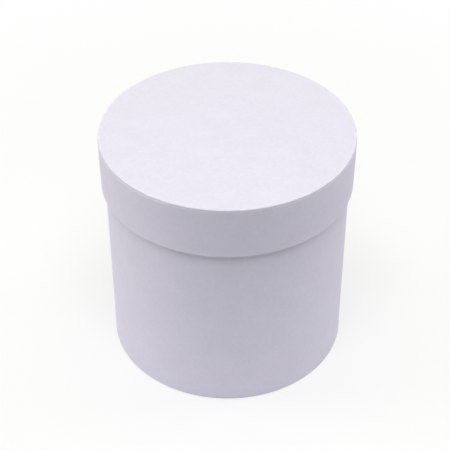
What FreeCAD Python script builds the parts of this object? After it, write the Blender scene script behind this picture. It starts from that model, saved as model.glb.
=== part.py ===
"""Round rigid flower box: a paper-covered board tube with a base, and a telescoping lift-off lid.

Millimetres, +Z up, origin at the centre of the underside. The front faces -Y and the seams are at
the back. Boards are glued to papers through a thin film of glue, which is the gap between them.
"""

import FreeCAD, Part
import math
import os
import Sketcher

# Driving dimensions
SIZES = [
    ("body_diameter", 200.0, "outside of the covered body"),
    ("box_height", 205.0, "floor to the top of the closed lid"),
    ("wall_board", 2.0, "board of the body tube"),
    ("base_thickness", 2.0, "board of the base disc"),
    ("lid_height", 45.7, "top of the lid to its lower rim"),
    ("ring_board", 2.0, "board of the lid ring"),
    ("lid_thickness", 2.0, "board of the lid disc"),
    ("cover_paper", 0.25, "outer paper"),
    ("lining_paper", 0.15, "inner paper"),
    ("glue_film", 0.08, "gap between glued faces"),
    ("disc_clearance", 0.1, "play round a disc in its tube"),
    ("lid_clearance", 0.55, "running gap between lid and body, on the radius"),
    ("crease", 0.2, "bevel along the outside of a paper fold"),
    ("body_hem", 20.0, "depth of the wrap turned in over the rim"),
    ("lid_hem", 22.0, "depth of the strip turned up inside the lid"),
    ("base_turn", 14.0, "width of the wrap turned under the base"),
    ("lid_turn", 14.0, "depth of the lid cover turned down the side"),
    ("base_sheet_inset", 2.5, "edge of the base sheet in from the outside"),
    ("strip_drop", 2.3, "top edge of the lid strip below the top"),
    ("notch_start", 3.2, "whole paper left between a fold and its notches"),
    ("notch_width", 5.0, "mouth of a notch between two tabs"),
    ("notch_count", 30, "notches round a turned edge"),
    ("lap_width", 12.0, "overlap of a lap seam"),
    ("butt_gap", 0.3, "gap between butted ends of a lining"),
    ("body_seam_angle", 104.0, "degrees from +X to the body's seams"),
    ("lid_seam_angle", 72.0, "degrees from +X to the lid's seams"),
]


def add(*terms):
    """An expression for the sum of other expressions."""
    return "(" + " + ".join(terms) + ")"


def sub(first, *terms):
    """An expression for the first expression less the others."""
    return "(" + " - ".join((first,) + terms) + ")"


def size(name):
    """The expression that reads a driving dimension."""
    return "sizes." + name


# Stack of radii and heights, worked out from the driving dimensions
PAPER = size("cover_paper")
LINING = size("lining_paper")
GLUE = size("glue_film")
CREASE = size("crease")
SHEET = add(PAPER, GLUE)
LINER = add(LINING, GLUE)

BODY_OUT = "(" + size("body_diameter") + " / 2)"
TUBE_OUT = sub(BODY_OUT, SHEET)
TUBE_IN = sub(TUBE_OUT, size("wall_board"))
BODY_LINING_OUT = sub(TUBE_IN, GLUE)
BODY_LINING_IN = sub(BODY_LINING_OUT, LINING)
BODY_HEM_OUT = sub(BODY_LINING_IN, GLUE)
BODY_HEM_IN = sub(BODY_HEM_OUT, PAPER)

LID_HEM_IN = add(BODY_OUT, size("lid_clearance"))
LID_HEM_OUT = add(LID_HEM_IN, PAPER)
RING_LINING_IN = add(LID_HEM_OUT, GLUE)
RING_LINING_OUT = add(RING_LINING_IN, LINING)
RING_IN = add(RING_LINING_OUT, GLUE)
RING_OUT = add(RING_IN, size("ring_board"))
COVER_IN = add(RING_OUT, GLUE)
COVER_OUT = add(COVER_IN, PAPER)
STRIP_IN = add(COVER_OUT, GLUE)
STRIP_OUT = add(STRIP_IN, PAPER)

LID_TOP = size("box_height")
COVER_FOOT = sub(LID_TOP, PAPER)
RING_TOP = sub(COVER_FOOT, GLUE)
LID_BOARD_FOOT = sub(RING_TOP, size("lid_thickness"))
LID_LINING_FOOT = sub(LID_BOARD_FOOT, LINER)
LID_FOOT = sub(LID_TOP, size("lid_height"))
RING_FOOT = add(LID_FOOT, SHEET)

BODY_TOP = LID_LINING_FOOT
TUBE_TOP = sub(BODY_TOP, SHEET)
WRAP_FOOT = SHEET
TUBE_FOOT = add(WRAP_FOOT, SHEET)
BASE_TOP = add(TUBE_FOOT, size("base_thickness"))
FLOOR_FOOT = add(BASE_TOP, GLUE)

doc = FreeCAD.newDocument("flower_box")
sheet = doc.addObject("Spreadsheet::Sheet", "sizes")
for row, (name, value, meaning) in enumerate(SIZES, start=1):
    sheet.set(f"A{row}", meaning)
    sheet.set(f"B{row}", str(value))
    sheet.setAlias(f"B{row}", name)
doc.recompute()


def number(expression):
    """What an expression is worth with the sheet as it stands."""
    return float(sheet.evalExpression(expression))


def new_body(label, seam=None):
    """A body whose seam, if it has one, is turned from +X to its angle at the back."""
    body = doc.addObject("PartDesign::Body", label)
    body.Label = label
    body.Placement = FreeCAD.Placement(FreeCAD.Vector(), FreeCAD.Rotation(FreeCAD.Vector(0, 0, 1), 0))
    if seam:
        body.setExpression("Placement.Rotation.Angle", size(seam))
    return body


def origin_feature(body, role):
    """One of the body's own origin planes or axes."""
    return next(f for f in body.Origin.OriginFeatures if f.Role == role)


def outline(body, name, plane, corners, offset="0"):
    """A closed sketch of straight lines whose corners are bound to pairs of expressions."""
    sketch = body.newObject("Sketcher::SketchObject", name)
    sketch.AttachmentSupport = [(origin_feature(body, plane), "")]
    sketch.MapMode = "FlatFace"
    sketch.setExpression("AttachmentOffset.Base.z", offset)
    points = [FreeCAD.Vector(number(x), number(y), 0) for x, y in corners]
    count = len(points)
    for i in range(count):
        sketch.addGeometry(Part.LineSegment(points[i], points[(i + 1) % count]))
    for i in range(count):
        sketch.addConstraint(Sketcher.Constraint("Coincident", i, 2, (i + 1) % count, 1))
    for i, corner in enumerate(corners):
        for kind, axis, expression in (("DistanceX", -2, corner[0]), ("DistanceY", -1, corner[1])):
            if expression == "0":
                sketch.addConstraint(Sketcher.Constraint("PointOnObject", i, 1, axis))
                continue
            datum = Sketcher.Constraint(kind, -1, 1, i, 1, number(expression))
            index = sketch.addConstraint(datum)
            label = f"{kind}_{i}"
            sketch.renameConstraint(index, label)
            sketch.setExpression("Constraints." + label, expression)
    return sketch


def revolve(body, name, corners, angle="360"):
    """A profile in the XZ plane turned about Z, from +X."""
    sketch = outline(body, name + "_profile", "XZ_Plane", corners)
    turned = body.newObject("PartDesign::Revolution", name)
    turned.Profile = sketch
    turned.ReferenceAxis = (sketch, ["V_Axis"])
    turned.setExpression("Angle", angle)
    doc.recompute()
    return turned


def rectangle(inner, outer, foot, top):
    """The corners of an upright rectangle in the XZ plane."""
    return [(inner, foot), (outer, foot), (outer, top), (inner, top)]


def circles(feature, places):
    """Names of the feature's round edges at the given radii and heights."""
    wanted = [(number(radius), number(height)) for radius, height in places]
    names = []
    for i, edge in enumerate(feature.Shape.Edges, start=1):
        if not isinstance(edge.Curve, Part.Circle):
            continue
        if any(math.isclose(edge.Curve.Radius, r, abs_tol=1e-4)
               and math.isclose(edge.Curve.Center.z, z, abs_tol=1e-4) for r, z in wanted):
            names.append(f"Edge{i}")
    if len(names) != len(places):
        raise ValueError(f"{feature.Label}: {len(names)} of {len(places)} edges found")
    return names


def crease(body, name, places):
    """A bevel on the outside of the folds at the given radii and heights."""
    base = body.Tip
    bevel = body.newObject("PartDesign::Chamfer", name)
    bevel.Base = (base, circles(base, places))
    bevel.setExpression("Size", CREASE)
    doc.recompute()
    return bevel


def lap(body, name, outer, foot, top):
    """The end of a wrapped sheet, lying over its start from the seam onwards."""
    angle = f"{size('lap_width')} / {outer} * 180 / pi"
    return revolve(body, name, rectangle(sub(outer, PAPER), add(outer, PAPER), foot, top), angle)


def butted(radius):
    """The turn of a sheet whose two ends meet with the butt gap between them."""
    return f"360 - {size('butt_gap')} / {radius} * 180 / pi"


def notch(body, name, plane, corners, start, end):
    """V cuts through a turned edge, between two distances from a plane, which leave it as tabs."""
    before = body.Tip.Shape.Volume
    cut = body.newObject("PartDesign::Pocket", name)
    cut.Profile = outline(body, name + "_outline", plane, corners, start)
    cut.Reversed = True
    cut.setExpression("Length", sub(end, start))
    doc.recompute()
    if cut.Shape.Volume >= before:
        raise ValueError(f"{name} cuts nothing")
    tabs = body.newObject("PartDesign::PolarPattern", name + "_round")
    tabs.Originals = [cut]
    tabs.Axis = (origin_feature(body, "Z_Axis"), [""])
    tabs.Angle = 360
    tabs.setExpression("Occurrences", size("notch_count"))
    body.Tip = tabs
    doc.recompute()
    return tabs


def board_tube(label, inner, outer, foot, top):
    """A wound tube of board, cut square."""
    body = new_body(label)
    revolve(body, label + "_wall", rectangle(inner, outer, foot, top))
    return body


def disc(label, radius, foot, thickness):
    """A flat disc."""
    body = new_body(label)
    revolve(body, label + "_disc", rectangle("0", radius, foot, add(foot, thickness)))
    return body


def tube_lining(label, seam, inner, outer, foot, top):
    """A sheet rolled inside a tube, its ends butted."""
    body = new_body(label, seam)
    revolve(body, label + "_sheet", rectangle(inner, outer, foot, top), butted(outer))
    return body


def body_wrap():
    """Cover paper of the body: up the outside, over the rim as a hem, and under the base as tabs."""
    body = new_body("body_wrap", "body_seam_angle")
    hem_foot = sub(BODY_TOP, size("body_hem"))
    turn_in = sub(BODY_OUT, size("base_turn"))
    outside_in = sub(BODY_OUT, PAPER)
    rim_under = sub(BODY_TOP, PAPER)
    foot_over = add(WRAP_FOOT, PAPER)
    profile = [
        (turn_in, WRAP_FOOT), (BODY_OUT, WRAP_FOOT), (BODY_OUT, BODY_TOP), (BODY_HEM_IN, BODY_TOP),
        (BODY_HEM_IN, hem_foot), (BODY_HEM_OUT, hem_foot), (BODY_HEM_OUT, rim_under),
        (outside_in, rim_under), (outside_in, foot_over), (turn_in, foot_over),
    ]
    revolve(body, "wrap_sheet", profile)
    crease(body, "wrap_folds", [(BODY_OUT, WRAP_FOOT), (BODY_OUT, BODY_TOP), (BODY_HEM_IN, BODY_TOP)])
    lap(body, "wrap_lap", BODY_OUT, add(WRAP_FOOT, CREASE), sub(BODY_TOP, CREASE))
    apex = sub(BODY_OUT, size("notch_start"))
    mouth = f"({size('notch_width')} / 2)"
    past = sub(turn_in, PAPER)
    corners = [(past, mouth), (apex, "0"), (past, "-" + mouth)]
    notch(body, "wrap_notch", "XY_Plane", corners, "0", TUBE_FOOT)
    return body


def lid_cover():
    """Cover paper of the lid's top, turned down the side as tabs."""
    body = new_body("lid_cover", "lid_seam_angle")
    skirt_foot = sub(LID_TOP, size("lid_turn"))
    profile = [
        ("0", COVER_FOOT), (COVER_IN, COVER_FOOT), (COVER_IN, skirt_foot), (COVER_OUT, skirt_foot),
        (COVER_OUT, LID_TOP), ("0", LID_TOP),
    ]
    revolve(body, "cover_sheet", profile)
    crease(body, "cover_fold", [(COVER_OUT, LID_TOP)])
    apex = sub(LID_TOP, size("notch_start"))
    mouth = f"({size('notch_width')} / 2)"
    past = sub(skirt_foot, PAPER)
    corners = [(mouth, past), ("0", apex), ("-" + mouth, past)]
    notch(body, "cover_notch", "YZ_Plane", corners, RING_IN, STRIP_IN)
    return body


def lid_strip():
    """Cover paper of the lid's side: down the outside, under the rim and up inside as a hem."""
    body = new_body("lid_strip", "lid_seam_angle")
    strip_top = sub(LID_TOP, size("strip_drop"))
    hem_top = add(LID_FOOT, size("lid_hem"))
    rim_over = add(LID_FOOT, PAPER)
    profile = [
        (LID_HEM_IN, LID_FOOT), (STRIP_OUT, LID_FOOT), (STRIP_OUT, strip_top), (STRIP_IN, strip_top),
        (STRIP_IN, rim_over), (LID_HEM_OUT, rim_over), (LID_HEM_OUT, hem_top), (LID_HEM_IN, hem_top),
    ]
    revolve(body, "strip_sheet", profile)
    crease(body, "strip_folds", [(STRIP_OUT, LID_FOOT), (LID_HEM_IN, LID_FOOT)])
    lap(body, "strip_lap", STRIP_OUT, add(LID_FOOT, CREASE), strip_top)
    return body


BODY_DISC = sub(BODY_LINING_IN, size("disc_clearance"))
LID_DISC = sub(RING_LINING_IN, size("disc_clearance"))
BASE_SHEET = sub(BODY_OUT, size("base_sheet_inset"))
BODY_LINING_WALL = (BODY_LINING_IN, BODY_LINING_OUT, TUBE_FOOT, TUBE_TOP)
RING_LINING_WALL = (RING_LINING_IN, RING_LINING_OUT, RING_FOOT, RING_TOP)
pieces = [
    board_tube("body_tube", TUBE_IN, TUBE_OUT, TUBE_FOOT, TUBE_TOP),
    tube_lining("body_lining", "body_seam_angle", *BODY_LINING_WALL),
    disc("base_board", BODY_DISC, TUBE_FOOT, size("base_thickness")),
    disc("floor_lining", BODY_DISC, FLOOR_FOOT, LINING),
    body_wrap(),
    disc("base_sheet", BASE_SHEET, "0", PAPER),
    board_tube("lid_ring", RING_IN, RING_OUT, RING_FOOT, RING_TOP),
    tube_lining("lid_ring_lining", "lid_seam_angle", *RING_LINING_WALL),
    disc("lid_board", LID_DISC, LID_BOARD_FOOT, size("lid_thickness")),
    disc("lid_lining", LID_DISC, LID_LINING_FOOT, LINING),
    lid_cover(),
    lid_strip(),
]
doc.recompute()

failed = [o.Label for o in doc.Objects if {"Invalid", "Error"} & set(o.State)]
if failed:
    raise ValueError(f"failed: {failed}")
for piece in pieces:
    if piece.Shape.isNull() or not piece.Shape.isValid() or len(piece.Shape.Solids) != 1:
        raise ValueError(f"{piece.Label} is not one valid solid")
os.makedirs("parts", exist_ok=True)
for piece in pieces:
    piece.Shape.exportStep(f"parts/{piece.Label}.step")
    print(piece.Label, round(piece.Shape.Volume, 1), len(piece.Shape.Faces))
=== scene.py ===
"""Looks of a round flower box: folded and lapped papers over board, on a plain pale floor.

Metres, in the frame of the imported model. The front faces -Y and the seams are at the back.
"""

import math
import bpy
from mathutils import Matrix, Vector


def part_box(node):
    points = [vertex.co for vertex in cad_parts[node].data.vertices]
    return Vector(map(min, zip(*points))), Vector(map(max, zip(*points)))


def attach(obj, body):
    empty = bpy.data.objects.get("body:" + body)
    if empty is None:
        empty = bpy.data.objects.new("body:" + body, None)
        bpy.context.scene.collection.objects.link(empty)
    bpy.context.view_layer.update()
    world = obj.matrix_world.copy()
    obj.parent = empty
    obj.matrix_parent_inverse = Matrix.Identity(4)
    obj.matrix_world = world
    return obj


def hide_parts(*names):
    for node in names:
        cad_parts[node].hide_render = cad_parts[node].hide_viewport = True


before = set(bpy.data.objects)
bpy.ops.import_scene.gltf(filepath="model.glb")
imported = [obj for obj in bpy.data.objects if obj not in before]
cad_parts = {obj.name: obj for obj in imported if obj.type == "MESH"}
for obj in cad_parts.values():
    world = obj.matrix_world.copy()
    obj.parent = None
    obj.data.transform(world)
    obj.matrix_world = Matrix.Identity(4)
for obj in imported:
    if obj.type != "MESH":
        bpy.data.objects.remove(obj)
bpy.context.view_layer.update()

from types import SimpleNamespace

import bmesh
import bpy

MM = 0.001
FULL_TURN = 2 * math.pi

# How the papers are cut and joined
BODY_HEM = 20 * MM
LID_HEM = 22 * MM
BASE_TURN = 14 * MM
LID_TURN = 14 * MM
STRIP_DROP = 2.3 * MM
NOTCH_START = 3.2 * MM
NOTCH_WIDTH = 5 * MM
NOTCH_COUNT = 30
LAP_WIDTH = 12 * MM
LAP_RAMP = 1.5 * MM
BUTT_GAP = 0.3 * MM
BODY_SEAM = math.radians(104)
LID_SEAM = math.radians(72)

# Radii of the folds, at the middle of the paper
FOLD = 0.4 * MM
FOOT_FOLD = 0.7 * MM
STRIP_FOLD = 0.7 * MM
EDGE_FOLD = 0.8 * MM

# How far hand-glued paper strays from its true shape
WALL_WAVE = 0.06 * MM
TOP_WAVE = 0.035 * MM
CUT_WAVE = 0.3 * MM
LAP_LIFT = 0.06 * MM
EDGE_ROLL = 0.1 * MM
RIM_PULL = 0.36 * MM

# How far from a fold or edge the paper stays true, and how far its wear reaches
BODY_CALM = 20 * MM
RIM_CALM = 10 * MM
TOP_CALM = 12 * MM
WEAR_REACH = 0.9 * MM

# Waves: how fast they turn up a wall, in radians a metre, and what each further term adds to that;
# how fast they turn across the lid's top; what their sum is divided by; and how far they lie below
# the true top, in waves
WAVE_CLIMB = 35
WAVE_CLIMB_STEP = 9
WAVE_ACROSS = 40
WAVE_PEAK = 1.6
TOP_SINK = 1.2

# Fineness of the sheets
COLUMNS = 240
BEND_STEPS = 5
ROW_STEP = 9 * MM
EDGE_ROWS = (0.25 * MM, 0.6 * MM, 1.2 * MM, 2.2 * MM, 4 * MM)
RAMP_STEPS = 4
DROP_WIDTH = 0.02 * MM
AXIS_GAP = 2 * MM
SAME_PLACE = 1e-9
STRAIGHT = 0.99
SHARP = math.radians(40)

# Colours, in linear light
COVER = (0.714, 0.687, 0.802)
COVER_WORN = (0.755, 0.733, 0.825)
CORE = (0.86, 0.85, 0.87)
LINING = (0.76, 0.755, 0.75)
BOARD = (0.30, 0.265, 0.225)
WHITE = (1.0, 1.0, 1.0, 1.0)
FLOOR = (0.865, 0.865, 0.87)

# How white the eye sees the floor: beside the box, the part of that under it, and from where on it
# is pure white
FLOOR_GLOW = 0.57
UNDER_GLOW = 0.4
FLOOR_WHITE = 0.65


def ring(node):
    """Inner and outer radius, foot and top of a round CAD node."""
    spans = [math.hypot(v.co.x, v.co.y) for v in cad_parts[node].data.vertices]
    low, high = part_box(node)
    return SimpleNamespace(inner=min(spans), outer=max(spans), foot=low.z, top=high.z)


tube = ring("body_tube")
wrap = ring("body_wrap")
base = ring("base_sheet")
floor_paper = ring("floor_lining")
lid_ring = ring("lid_ring")
lid_cover = ring("lid_cover")
lid_strip = ring("lid_strip")
PAPER = base.top - base.foot
LINER = floor_paper.top - floor_paper.foot
GLUE = floor_paper.foot - ring("base_board").top
HALF = PAPER / 2


def smooth(x):
    """0 below 0, 1 above 1, and an even slope between."""
    x = min(1.0, max(0.0, x))
    return x * x * (3 - 2 * x)


def waves(angle, height, turns, phase):
    """A smooth wander between about -1 and 1, the same on every run."""
    total = 0.0
    for k, turn in enumerate(turns):
        climb = (WAVE_CLIMB + WAVE_CLIMB_STEP * k) * height
        total += math.sin(turn * angle + phase * (k + 1) + climb) / (k + 1)
    return total / WAVE_PEAK


def on_wall(row):
    """Whether the sheet's face looks straight out there."""
    return row.nr > STRAIGHT


def rows_along(length, to_axis=False):
    """Distances along a straight run, closer together near its ends but not at the axis."""
    near = [d for d in EDGE_ROWS if d < length / 2]
    first = near[-1] if near else 0.0
    last = length if to_axis else length - first
    count = max(1, round((last - first) / ROW_STEP))
    marks = [0.0] + near + [first + (last - first) * k / count for k in range(1, count + 1)]
    if not to_axis:
        marks += [length - d for d in reversed(near[:-1])] + [length]
    return marks


class Path:
    """The middle line of a folded sheet, in the plane of radius and height.

    The sheet's face lies on the right of its heading, which is the outside of every bend.
    """

    def __init__(self, start, heading):
        self.at = start
        self.heading = heading
        self.length = 0.0
        self.rows = []
        self.worn = []
        self.to_axis = False

    def add(self, along, stretch=0.0, tab=0.0):
        """One row of the sheet where the line stands, unless it has one there."""
        if self.rows and along - self.rows[-1].along < SAME_PLACE:
            return
        (r, z), (hr, hz) = self.at, self.heading
        row = SimpleNamespace(r=r, z=z, nr=hz, nz=-hr, hr=hr, hz=hz)
        row.along, row.stretch, row.tab = along, stretch, tab
        self.rows.append(row)

    def line(self, length, free_start=False, free_end=False, tabs=False, to_axis=False):
        """A straight run. Its cut end may stray, and may be notched into tabs."""
        (r, z), (hr, hz) = self.at, self.heading
        if free_start:
            self.worn.append(self.length)
        for d in rows_along(length, to_axis):
            done = d / length
            self.at = (r + hr * d, z + hz * d)
            stretch = done * free_end - (1 - done) * free_start
            self.add(self.length + d, stretch, (1 - done) * tabs)
        self.length += length
        self.to_axis = to_axis
        if free_end:
            self.worn.append(self.length)
        return self

    def bend(self, radius):
        """A quarter turn to the left."""
        (r, z), (hr, hz) = self.at, self.heading
        centre_r, centre_z = r - hz * radius, z + hr * radius
        for k in range(1, BEND_STEPS + 1):
            turn = math.pi / 2 * k / BEND_STEPS
            c, s = math.cos(turn), math.sin(turn)
            self.heading = (hr * c - hz * s, hr * s + hz * c)
            self.at = (centre_r + self.heading[1] * radius, centre_z - self.heading[0] * radius)
            self.worn.append(self.length + radius * turn)
            self.add(self.length + radius * turn)
        self.length += radius * math.pi / 2
        return self

    def wear(self, row):
        """1 on a fold or a cut edge, fading away from it."""
        gap = min((abs(row.along - place) for place in self.worn), default=1.0)
        return math.exp(-gap / WEAR_REACH)


class Lap:
    """The end of a wrapped sheet lying over its start, on the wall between two heights."""

    def __init__(self, radius, low, high):
        self.radius = radius
        self.low = low
        self.high = high
        self.end = LAP_WIDTH / radius
        self.drop = self.end - DROP_WIDTH / radius

    def rise(self, angle, row):
        """How far the face stands proud; the last third lifts a little more."""
        if angle > self.drop + SAME_PLACE or not on_wall(row):
            return 0.0
        ends = smooth((row.z - self.low) / LAP_RAMP) * smooth((self.high - row.z) / LAP_RAMP)
        lift = LAP_LIFT * max(0.0, waves(0, row.z, (1, 2), 1.7)) * smooth(angle / self.end * 3 - 2)
        return (PAPER * smooth(angle * self.radius / LAP_RAMP) + lift) * ends

    def columns(self):
        """Angles that the lap needs: up the ramp, and down at the cut end."""
        ramp = [LAP_RAMP / self.radius * k / RAMP_STEPS for k in range(RAMP_STEPS + 1)]
        return ramp + [self.drop, self.end]


def column_angles(lap, reach):
    """Angles round a sheet from its seam, the lap's own columns among them."""
    angles = [reach * k / COLUMNS for k in range(COLUMNS + 1)]
    if lap:
        near = reach / COLUMNS / 2
        own = lap.columns()
        angles = [a for a in angles if all(abs(a - b) > near for b in own)] + own
    return sorted(angles)


def sweep(name, path, thickness, materials, seam=0.0, lap=None, gap=0.0,
          wander=None, stray=None, spread=None):
    """A sheet of paper taken round the axis along a path: two faces, and its cut edges.

    wander(angle, row) moves the sheet out of its face, stray(angle) lengthens its free ends, and
    spread(row) adds to its radius. With a gap its two ends are butted. The materials are the
    sheet's own and that of its cut edges.
    """
    rows = path.rows
    last = len(rows) - 1
    pitch = FULL_TURN / NOTCH_COUNT
    narrowing = NOTCH_WIDTH / (pitch * rows[0].r)
    angles = column_angles(lap, FULL_TURN - gap / rows[0].r)
    if not gap:
        angles.pop()
    count = len(angles)
    bm = bmesh.new()
    wear = bm.verts.layers.float.new("wear")
    made = {}

    def vert(side, i, j, tab):
        row = rows[i]
        key = (side, i, j, tab if row.tab else None)
        if key in made:
            return made[key]
        angle = angles[j]
        worn = path.wear(row)
        lift = side * thickness / 2
        if wander:
            lift += wander(angle, row)
        if lap and side > 0:
            lift += lap.rise(angle, row)
            cut_end = math.exp(-abs(angle - lap.end) * lap.radius / WEAR_REACH)
            worn = max(worn, cut_end if on_wall(row) else 0.0)
        longer = row.stretch * stray(angle) if stray else 0.0
        r = row.r + row.nr * lift + row.hr * longer
        z = row.z + row.nz * lift + row.hz * longer
        if spread:
            r += spread(row)
        if row.tab:
            middle = (tab + 0.5) * pitch
            off = (angle - middle + math.pi) % FULL_TURN - math.pi
            angle = middle + off * (1 - row.tab * narrowing)
        v = bm.verts.new((r * math.cos(seam + angle), r * math.sin(seam + angle), z))
        v[wear] = worn
        made[key] = v
        return v

    def strip(a, b, cut=False):
        """A face between two runs of corners."""
        corners = [vert(*place) for place in a] + [vert(*place) for place in reversed(b)]
        f = bm.faces.new(corners)
        f.material_index = int(cut)
        f.smooth = True

    spans = count - 1 if gap else count
    tabs = [int((angles[j] + FULL_TURN / COLUMNS / 4) / pitch) for j in range(count)]
    for j in range(spans):
        k = (j + 1) % count
        t = tabs[j]
        drop = lap is not None and angles[j] == lap.drop
        for i in range(last):
            n = i + 1
            for side in (1, -1):
                strip([(side, i, j, t), (side, i, k, t)], [(side, n, j, t), (side, n, k, t)],
                      drop and side > 0)
            if rows[i].tab and tabs[k] != t:
                for tab in (t, tabs[k]):
                    strip([(1, i, k, tab), (-1, i, k, tab)],
                          [(1, n, k, tab), (-1, n, k, tab)], True)
        strip([(1, 0, j, t), (1, 0, k, t)], [(-1, 0, j, t), (-1, 0, k, t)], True)
        if not path.to_axis:
            strip([(1, last, j, t), (1, last, k, t)], [(-1, last, j, t), (-1, last, k, t)], True)
    for j in (0, count - 1) if gap else ():
        for i in range(last):
            n = i + 1
            strip([(1, i, j, None), (-1, i, j, None)], [(1, n, j, None), (-1, n, j, None)], True)
    if path.to_axis:
        for side in (1, -1):
            strip([(side, last, j, None) for j in range(count)], [])
    bmesh.ops.recalc_face_normals(bm, faces=bm.faces)
    mesh = bpy.data.meshes.new(name)
    bm.to_mesh(mesh)
    bm.free()
    mesh.set_sharp_from_angle(angle=SHARP)
    for material in materials:
        mesh.materials.append(material)
    piece = bpy.data.objects.new(name, mesh)
    bpy.context.scene.collection.objects.link(piece)
    return piece


def dress(piece, node, body):
    """The piece stands for a CAD node and moves with that node's body."""
    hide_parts(node)
    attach(piece, body)


class Nodes:
    """A material's node tree, with short ways to add and join nodes."""

    def __init__(self, name):
        self.material = bpy.data.materials.new(name)
        self.material.use_nodes = True
        self.tree = self.material.node_tree
        self.shader = self.tree.nodes["Principled BSDF"]
        self.place = self.tree.nodes.new("ShaderNodeTexCoord").outputs["Object"]

    def join(self, source, target):
        """Feeds one socket from another."""
        self.tree.links.new(source, target)

    def noise(self, scale, detail=3.0, roughness=0.55, distortion=0.0, stretch=(1.0, 1.0, 1.0)):
        """Smooth noise over the object, about one wave every 1 / scale metres."""
        mapping = self.tree.nodes.new("ShaderNodeMapping")
        mapping.inputs["Scale"].default_value = stretch
        self.join(self.place, mapping.inputs["Vector"])
        node = self.tree.nodes.new("ShaderNodeTexNoise")
        node.inputs["Scale"].default_value = scale
        node.inputs["Detail"].default_value = detail
        node.inputs["Roughness"].default_value = roughness
        node.inputs["Distortion"].default_value = distortion
        self.join(mapping.outputs["Vector"], node.inputs["Vector"])
        return node.outputs["Fac"]

    def fit(self, source, low, high, to_low=0.0, to_high=1.0):
        """A value carried from one span to another, and held inside it."""
        node = self.tree.nodes.new("ShaderNodeMapRange")
        node.inputs["From Min"].default_value = low
        node.inputs["From Max"].default_value = high
        node.inputs["To Min"].default_value = to_low
        node.inputs["To Max"].default_value = to_high
        self.join(source, node.inputs["Value"])
        return node.outputs["Result"]

    def math(self, kind, a, b):
        """Arithmetic on a value and another value or a plain number."""
        node = self.tree.nodes.new("ShaderNodeMath")
        node.operation = kind
        self.join(a, node.inputs[0])
        if isinstance(b, float):
            node.inputs[1].default_value = b
        else:
            self.join(b, node.inputs[1])
        return node.outputs["Value"]

    def mix(self, factor, a, b):
        """One colour blended into another."""
        node = self.tree.nodes.new("ShaderNodeMix")
        node.data_type = "RGBA"
        self.join(factor, node.inputs["Factor"])
        first, second = [s for s in node.inputs if s.type == "RGBA"]
        for value, socket in ((a, first), (b, second)):
            if isinstance(value, tuple):
                socket.default_value = (*value, 1.0)
            else:
                self.join(value, socket)
        return next(s for s in node.outputs if s.type == "RGBA")

    def from_axis(self):
        """Distance along the floor from the box's axis."""
        node = self.tree.nodes.new("ShaderNodeVectorMath")
        node.operation = "LENGTH"
        self.join(self.tree.nodes.new("ShaderNodeNewGeometry").outputs["Position"], node.inputs[0])
        return node.outputs["Value"]

    def attribute(self, name):
        """A value painted on the mesh."""
        node = self.tree.nodes.new("ShaderNodeAttribute")
        node.attribute_name = name
        return node.outputs["Fac"]

    def finish(self, colour, roughness, relief, gloss, strength, depth):
        """Joins colour, roughness and relief to the shader, and gives back the material."""
        bump = self.tree.nodes.new("ShaderNodeBump")
        bump.inputs["Strength"].default_value = strength
        bump.inputs["Distance"].default_value = depth
        self.join(relief, bump.inputs["Height"])
        self.join(bump.outputs["Normal"], self.shader.inputs["Normal"])
        self.join(colour, self.shader.inputs["Base Color"])
        self.join(roughness, self.shader.inputs["Roughness"])
        self.shader.inputs["Specular IOR Level"].default_value = gloss
        return self.material


def scaled(colour, factor):
    """A colour made darker or lighter."""
    return tuple(min(1.0, c * factor) for c in colour)


def cover_paper():
    """Dyed uncoated paper: faintly cloudy, finely fibred, and paler where folded or rubbed."""
    n = Nodes("cover_paper")
    cloud = n.noise(45, detail=4)
    mottle = n.noise(330, detail=3, roughness=0.6)
    fibre = n.noise(900, detail=5, roughness=0.7, distortion=1.2, stretch=(1.0, 1.0, 0.45))
    grain = n.noise(3200, detail=2)
    colour = n.mix(n.fit(cloud, 0.35, 0.65), scaled(COVER, 0.985), scaled(COVER, 1.012))
    colour = n.mix(n.fit(mottle, 0.5, 0.72, 0.0, 0.6), colour, scaled(COVER, 1.045))
    colour = n.mix(n.fit(mottle, 0.5, 0.28, 0.0, 0.6), colour, scaled(COVER, 0.955))
    colour = n.mix(n.fit(fibre, 0.58, 0.75, 0.0, 0.5), colour, scaled(COVER, 0.92))
    colour = n.mix(n.fit(grain, 0.55, 0.8, 0.0, 0.5), colour, scaled(COVER, 1.06))
    wear = n.attribute("wear")
    rubbed = n.math("MULTIPLY", wear, n.fit(n.noise(260, detail=4), 0.42, 0.62, 0.1, 0.7))
    colour = n.mix(rubbed, colour, COVER_WORN)
    places = n.fit(n.noise(85, detail=4), 0.58, 0.68, 0.0, 0.6)
    nicked = n.math("MULTIPLY", n.math("POWER", wear, 3.0), places)
    colour = n.mix(nicked, colour, CORE)
    relief = n.math("ADD", fibre, n.math("MULTIPLY", grain, 0.5))
    return n.finish(colour, n.fit(fibre, 0.3, 0.7, 0.68, 0.8), relief,
                    gloss=0.15, strength=0.25, depth=0.08 * MM)


def core_paper():
    """The cut edge of the cover paper, which shows its pale core."""
    n = Nodes("core_paper")
    fibre = n.noise(2400, detail=4, roughness=0.7)
    colour = n.mix(n.fit(fibre, 0.35, 0.7), scaled(CORE, 0.94), CORE)
    return n.finish(colour, n.fit(fibre, 0.3, 0.7, 0.78, 0.9), fibre,
                    gloss=0.2, strength=0.3, depth=0.06 * MM)


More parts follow.
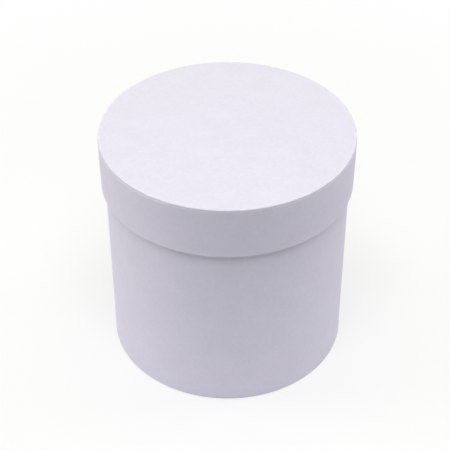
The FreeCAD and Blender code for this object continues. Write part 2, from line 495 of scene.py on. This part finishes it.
def lining_paper():
    """Plain off-white lining paper with a few darker fibres."""
    n = Nodes("lining_paper")
    cloud = n.noise(60, detail=4)
    fibre = n.noise(700, detail=5, roughness=0.7, distortion=1.6, stretch=(1.0, 1.0, 0.4))
    colour = n.mix(n.fit(cloud, 0.35, 0.65), scaled(LINING, 0.97), scaled(LINING, 1.02))
    colour = n.mix(n.fit(fibre, 0.62, 0.78, 0.0, 0.5), colour, scaled(LINING, 0.84))
    return n.finish(colour, n.fit(fibre, 0.3, 0.7, 0.68, 0.82), fibre,
                    gloss=0.3, strength=0.25, depth=0.08 * MM)


def grey_board():
    """Board of mixed pulp, with light and dark flecks."""
    n = Nodes("grey_board")
    pulp = n.noise(220, detail=6, roughness=0.65)
    fleck = n.noise(1500, detail=3, roughness=0.6)
    colour = n.mix(n.fit(pulp, 0.35, 0.65), scaled(BOARD, 0.88), scaled(BOARD, 1.1))
    colour = n.mix(n.fit(fleck, 0.64, 0.74, 0.0, 0.6), colour, scaled(BOARD, 1.6))
    colour = n.mix(n.fit(fleck, 0.36, 0.28, 0.0, 0.6), colour, scaled(BOARD, 0.5))
    relief = n.math("ADD", pulp, fleck)
    return n.finish(colour, n.fit(pulp, 0.3, 0.7, 0.85, 0.95), relief,
                    gloss=0.2, strength=0.4, depth=0.15 * MM)


def seen_rays(tree):
    """1 for rays from the eye, also by way of gloss and glass, and 0 for light on things."""
    rays = tree.nodes.new("ShaderNodeLightPath")
    seen = rays.outputs["Is Camera Ray"]
    for name in ("Is Glossy Ray", "Is Transmission Ray"):
        either = tree.nodes.new("ShaderNodeMath")
        either.operation = "MAXIMUM"
        tree.links.new(seen, either.inputs[0])
        tree.links.new(rays.outputs[name], either.inputs[1])
        seen = either.outputs["Value"]
    return seen


def floor_finish():
    """Matte white sweep, which the eye sees growing to pure white away from the box."""
    n = Nodes("pale_floor")
    tone = n.noise(8, detail=2)
    colour = n.mix(tone, scaled(FLOOR, 0.995), scaled(FLOOR, 1.005))
    n.finish(colour, n.fit(tone, 0.0, 1.0, 0.88, 0.94), tone,
             gloss=0.1, strength=0.02, depth=0.1 * MM)
    glow = n.tree.nodes.new("ShaderNodeEmission")
    glow.inputs["Color"].default_value = WHITE
    both = n.tree.nodes.new("ShaderNodeMixShader")
    clear = n.fit(n.from_axis(), wrap.outer - FOOT_FOLD, wrap.outer, UNDER_GLOW, 1.0)
    lit = n.math("MULTIPLY", clear, n.fit(n.from_axis(), wrap.outer, FLOOR_WHITE, FLOOR_GLOW, 1.0))
    n.join(n.math("MULTIPLY", seen_rays(n.tree), lit), both.inputs["Fac"])
    n.join(n.shader.outputs["BSDF"], both.inputs[1])
    n.join(glow.outputs["Emission"], both.inputs[2])
    n.join(both.outputs["Shader"], n.tree.nodes["Material Output"].inputs["Surface"])
    return n.material


COVER_SHEET = (cover_paper(), core_paper())
LINING_SHEET = (lining_paper(),) * 2


def body_paper():
    """The body's wrap: tabs under the base, up the wall, over the rim and down inside as a hem."""
    outside = tube.outer + GLUE + PAPER
    hem = tube.inner - 2 * GLUE - LINER - HALF
    low = wrap.foot + HALF + FOOT_FOLD
    high = wrap.top - HALF - FOLD
    path = Path((outside - BASE_TURN, wrap.foot + HALF), (1, 0))
    path.line(BASE_TURN - NOTCH_START, free_start=True, tabs=True)
    path.line(NOTCH_START - HALF - FOOT_FOLD).bend(FOOT_FOLD)
    path.line(high - low).bend(FOLD)
    path.line(outside - HALF - 2 * FOLD - hem).bend(FOLD)
    path.line(BODY_HEM - HALF - FOLD, free_end=True)

    def wander(angle, row):
        calm = smooth((row.z - low) / BODY_CALM) * smooth((high - row.z) / BODY_CALM)
        return WALL_WAVE * waves(angle, row.z, (2, 5, 9), 0.8) * calm if on_wall(row) else 0.0

    def stray(angle):
        return CUT_WAVE * waves(angle, 0, (3, 7, 16), 2.1)

    lap = Lap(outside, low, high)
    piece = sweep("body_paper", path, PAPER, COVER_SHEET, BODY_SEAM, lap,
                  wander=wander, stray=stray)
    dress(piece, "body_wrap", "box")


def lid_top_paper():
    """The lid's top: tabs turned down the side, over the edge and across to the middle."""
    side = lid_ring.outer + GLUE + HALF
    path = Path((side, lid_cover.top - LID_TURN), (0, 1))
    path.line(LID_TURN - NOTCH_START, free_start=True, tabs=True)
    path.line(NOTCH_START - HALF - EDGE_FOLD).bend(EDGE_FOLD)
    path.line(side - EDGE_FOLD - AXIS_GAP, to_axis=True)

    def wander(angle, row):
        if row.nz < STRAIGHT:
            return 0.0
        x, y = row.r * math.cos(angle), row.r * math.sin(angle)
        calm = smooth((side - row.r) / TOP_CALM)
        return -TOP_WAVE * (TOP_SINK + waves(WAVE_ACROSS * x, y, (1, 2, 3), 0.4)) * calm

    def spread(row):
        return EDGE_ROLL * smooth((row.z - lid_cover.top + STRIP_DROP) / (STRIP_DROP - EDGE_FOLD))

    piece = sweep("lid_top_paper", path, PAPER, COVER_SHEET, LID_SEAM,
                  wander=wander, spread=spread)
    dress(piece, "lid_cover", "lid")


def lid_side_paper():
    """The lid's strip: a hem inside, under the rim and up to a cut edge just below the top."""
    hem = lid_ring.inner - 2 * GLUE - LINER - HALF
    side = lid_ring.outer + 2 * GLUE + PAPER + HALF
    low = lid_strip.foot + HALF + STRIP_FOLD
    high = lid_cover.top - STRIP_DROP
    path = Path((hem, lid_strip.foot + LID_HEM), (0, -1))
    path.line(LID_HEM - HALF - FOLD, free_start=True).bend(FOLD)
    path.line(side - STRIP_FOLD - hem - FOLD).bend(STRIP_FOLD)
    path.line(high - low, free_end=True)

    def wander(angle, row):
        calm = smooth((row.z - low) / RIM_CALM)
        inward = waves(angle, row.z, (3, 7, 11), 2.6) - 1
        return WALL_WAVE / 2 * inward * calm if on_wall(row) else 0.0

    def stray(angle):
        return CUT_WAVE * waves(angle, 0, (2, 5, 13), 0.9)

    def spread(row):
        below_tabs = smooth((lid_cover.foot - row.z) / (lid_cover.foot - low))
        return -RIM_PULL * below_tabs * (row.r - hem) / (side - hem)

    lap = Lap(side + HALF, low, high + LAP_RAMP)
    piece = sweep("lid_side_paper", path, PAPER, COVER_SHEET, LID_SEAM, lap,
                  wander=wander, stray=stray, spread=spread)
    dress(piece, "lid_strip", "lid")


def tube_lining(node, body, seam):
    """A lining rolled inside a tube, its two ends butted."""
    wall = ring(node)
    path = Path(((wall.inner + wall.outer) / 2, wall.top), (0, -1))
    path.line(wall.top - wall.foot)
    piece = sweep(node + "_paper", path, LINER, LINING_SHEET, seam, gap=BUTT_GAP)
    dress(piece, node, body)


def paper_disc(node, body, materials):
    """A flat disc of paper."""
    flat = ring(node)
    path = Path((flat.outer, (flat.foot + flat.top) / 2), (-1, 0))
    path.line(flat.outer - AXIS_GAP, free_start=True, to_axis=True)
    piece = sweep(node + "_paper", path, flat.top - flat.foot, materials)
    dress(piece, node, body)


body_paper()
lid_top_paper()
lid_side_paper()
tube_lining("body_lining", "box", BODY_SEAM)
tube_lining("lid_ring_lining", "lid", LID_SEAM)
paper_disc("floor_lining", "box", LINING_SHEET)
paper_disc("lid_lining", "lid", LINING_SHEET)
paper_disc("base_sheet", "box", COVER_SHEET)

board = grey_board()
for node in ("body_tube", "base_board", "lid_ring", "lid_board"):
    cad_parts[node].material_slots[0].material = board

# Floor, which ends soon in front of the box so that little light comes back from there
FLOOR_WIDTH = 2.4
FLOOR_FRONT = -0.42
FLOOR_BACK = 1.2
bpy.ops.mesh.primitive_plane_add(size=1, location=(0, (FLOOR_FRONT + FLOOR_BACK) / 2, 0))
floor = bpy.context.object
floor.name = "floor"
floor.scale = (FLOOR_WIDTH, FLOOR_BACK - FLOOR_FRONT, 1)
floor.data.materials.append(floor_finish())

# Camera, at the photograph's viewing angle
CAMERA_DISTANCE = 1.0761
CAMERA_ELEVATION = math.radians(39.69)
CAMERA_TILT = math.radians(39.12)
CAMERA_PAN = math.radians(0.139)
CAMERA_ROLL = math.radians(-0.14)
AIM_HEIGHT = 0.0934
LENS = 100.49
camera = bpy.data.objects.new("camera", bpy.data.cameras.new("camera"))
bpy.context.scene.collection.objects.link(camera)
camera.data.lens = LENS
camera.location.y = -CAMERA_DISTANCE * math.cos(CAMERA_ELEVATION)
camera.location.z = AIM_HEIGHT + CAMERA_DISTANCE * math.sin(CAMERA_ELEVATION)
camera.rotation_euler = (math.pi / 2 - CAMERA_TILT, 0, CAMERA_PAN)
camera.rotation_euler.rotate_axis("Z", CAMERA_ROLL)
bpy.context.scene.camera = camera

# Light: soft boxes overhead, in front and at each side, turned towards the flower box
LIGHT_AIM = (0, 0, 0.1)


def soft_box(name, place, width, height, power, colour):
    """A rectangular studio light."""
    data = bpy.data.lights.new(name, "AREA")
    data.shape = "RECTANGLE"
    data.size = width
    data.size_y = height
    data.energy = power
    data.color = colour
    light = bpy.data.objects.new(name, data)
    light.location = place
    x, y, z = [aim - p for aim, p in zip(LIGHT_AIM, place)]
    light.rotation_euler = (math.atan2(math.hypot(x, y), -z), 0, math.atan2(-x, y))
    bpy.context.scene.collection.objects.link(light)


soft_box("overhead", (0, 0.3, 2.0), width=1.6, height=1.6, power=11.6, colour=(1.0, 1.0, 0.7))
soft_box("front", (0, -0.75, 1.85), width=1.2, height=0.8, power=20.8, colour=(0.94, 0.94, 1.0))
soft_box("left", (-1.6, 0.15, 0.75), width=0.9, height=1.0, power=11.2, colour=(1.0, 1.0, 0.96))
soft_box("right", (1.55, 0.4, 0.75), width=0.9, height=1.0, power=8.6, colour=(1.0, 1.0, 1.0))

# World: an even fill on the object, and white to the camera and in gloss and glass
FILL = (1.0, 1.0, 1.0)
FILL_STRENGTH = 0.2
world = bpy.data.worlds.new("studio")
world.use_nodes = True
bpy.context.scene.world = world
tree = world.node_tree
fill = tree.nodes["Background"]
fill.inputs["Color"].default_value = (*FILL, 1.0)
fill.inputs["Strength"].default_value = FILL_STRENGTH
white = tree.nodes.new("ShaderNodeBackground")
white.inputs["Color"].default_value = WHITE
shown = tree.nodes.new("ShaderNodeMixShader")
tree.links.new(seen_rays(tree), shown.inputs["Fac"])
tree.links.new(fill.outputs["Background"], shown.inputs[1])
tree.links.new(white.outputs["Background"], shown.inputs[2])
tree.links.new(shown.outputs["Shader"], tree.nodes["World Output"].inputs["Surface"])

bpy.context.scene.view_settings.view_transform = "Standard"
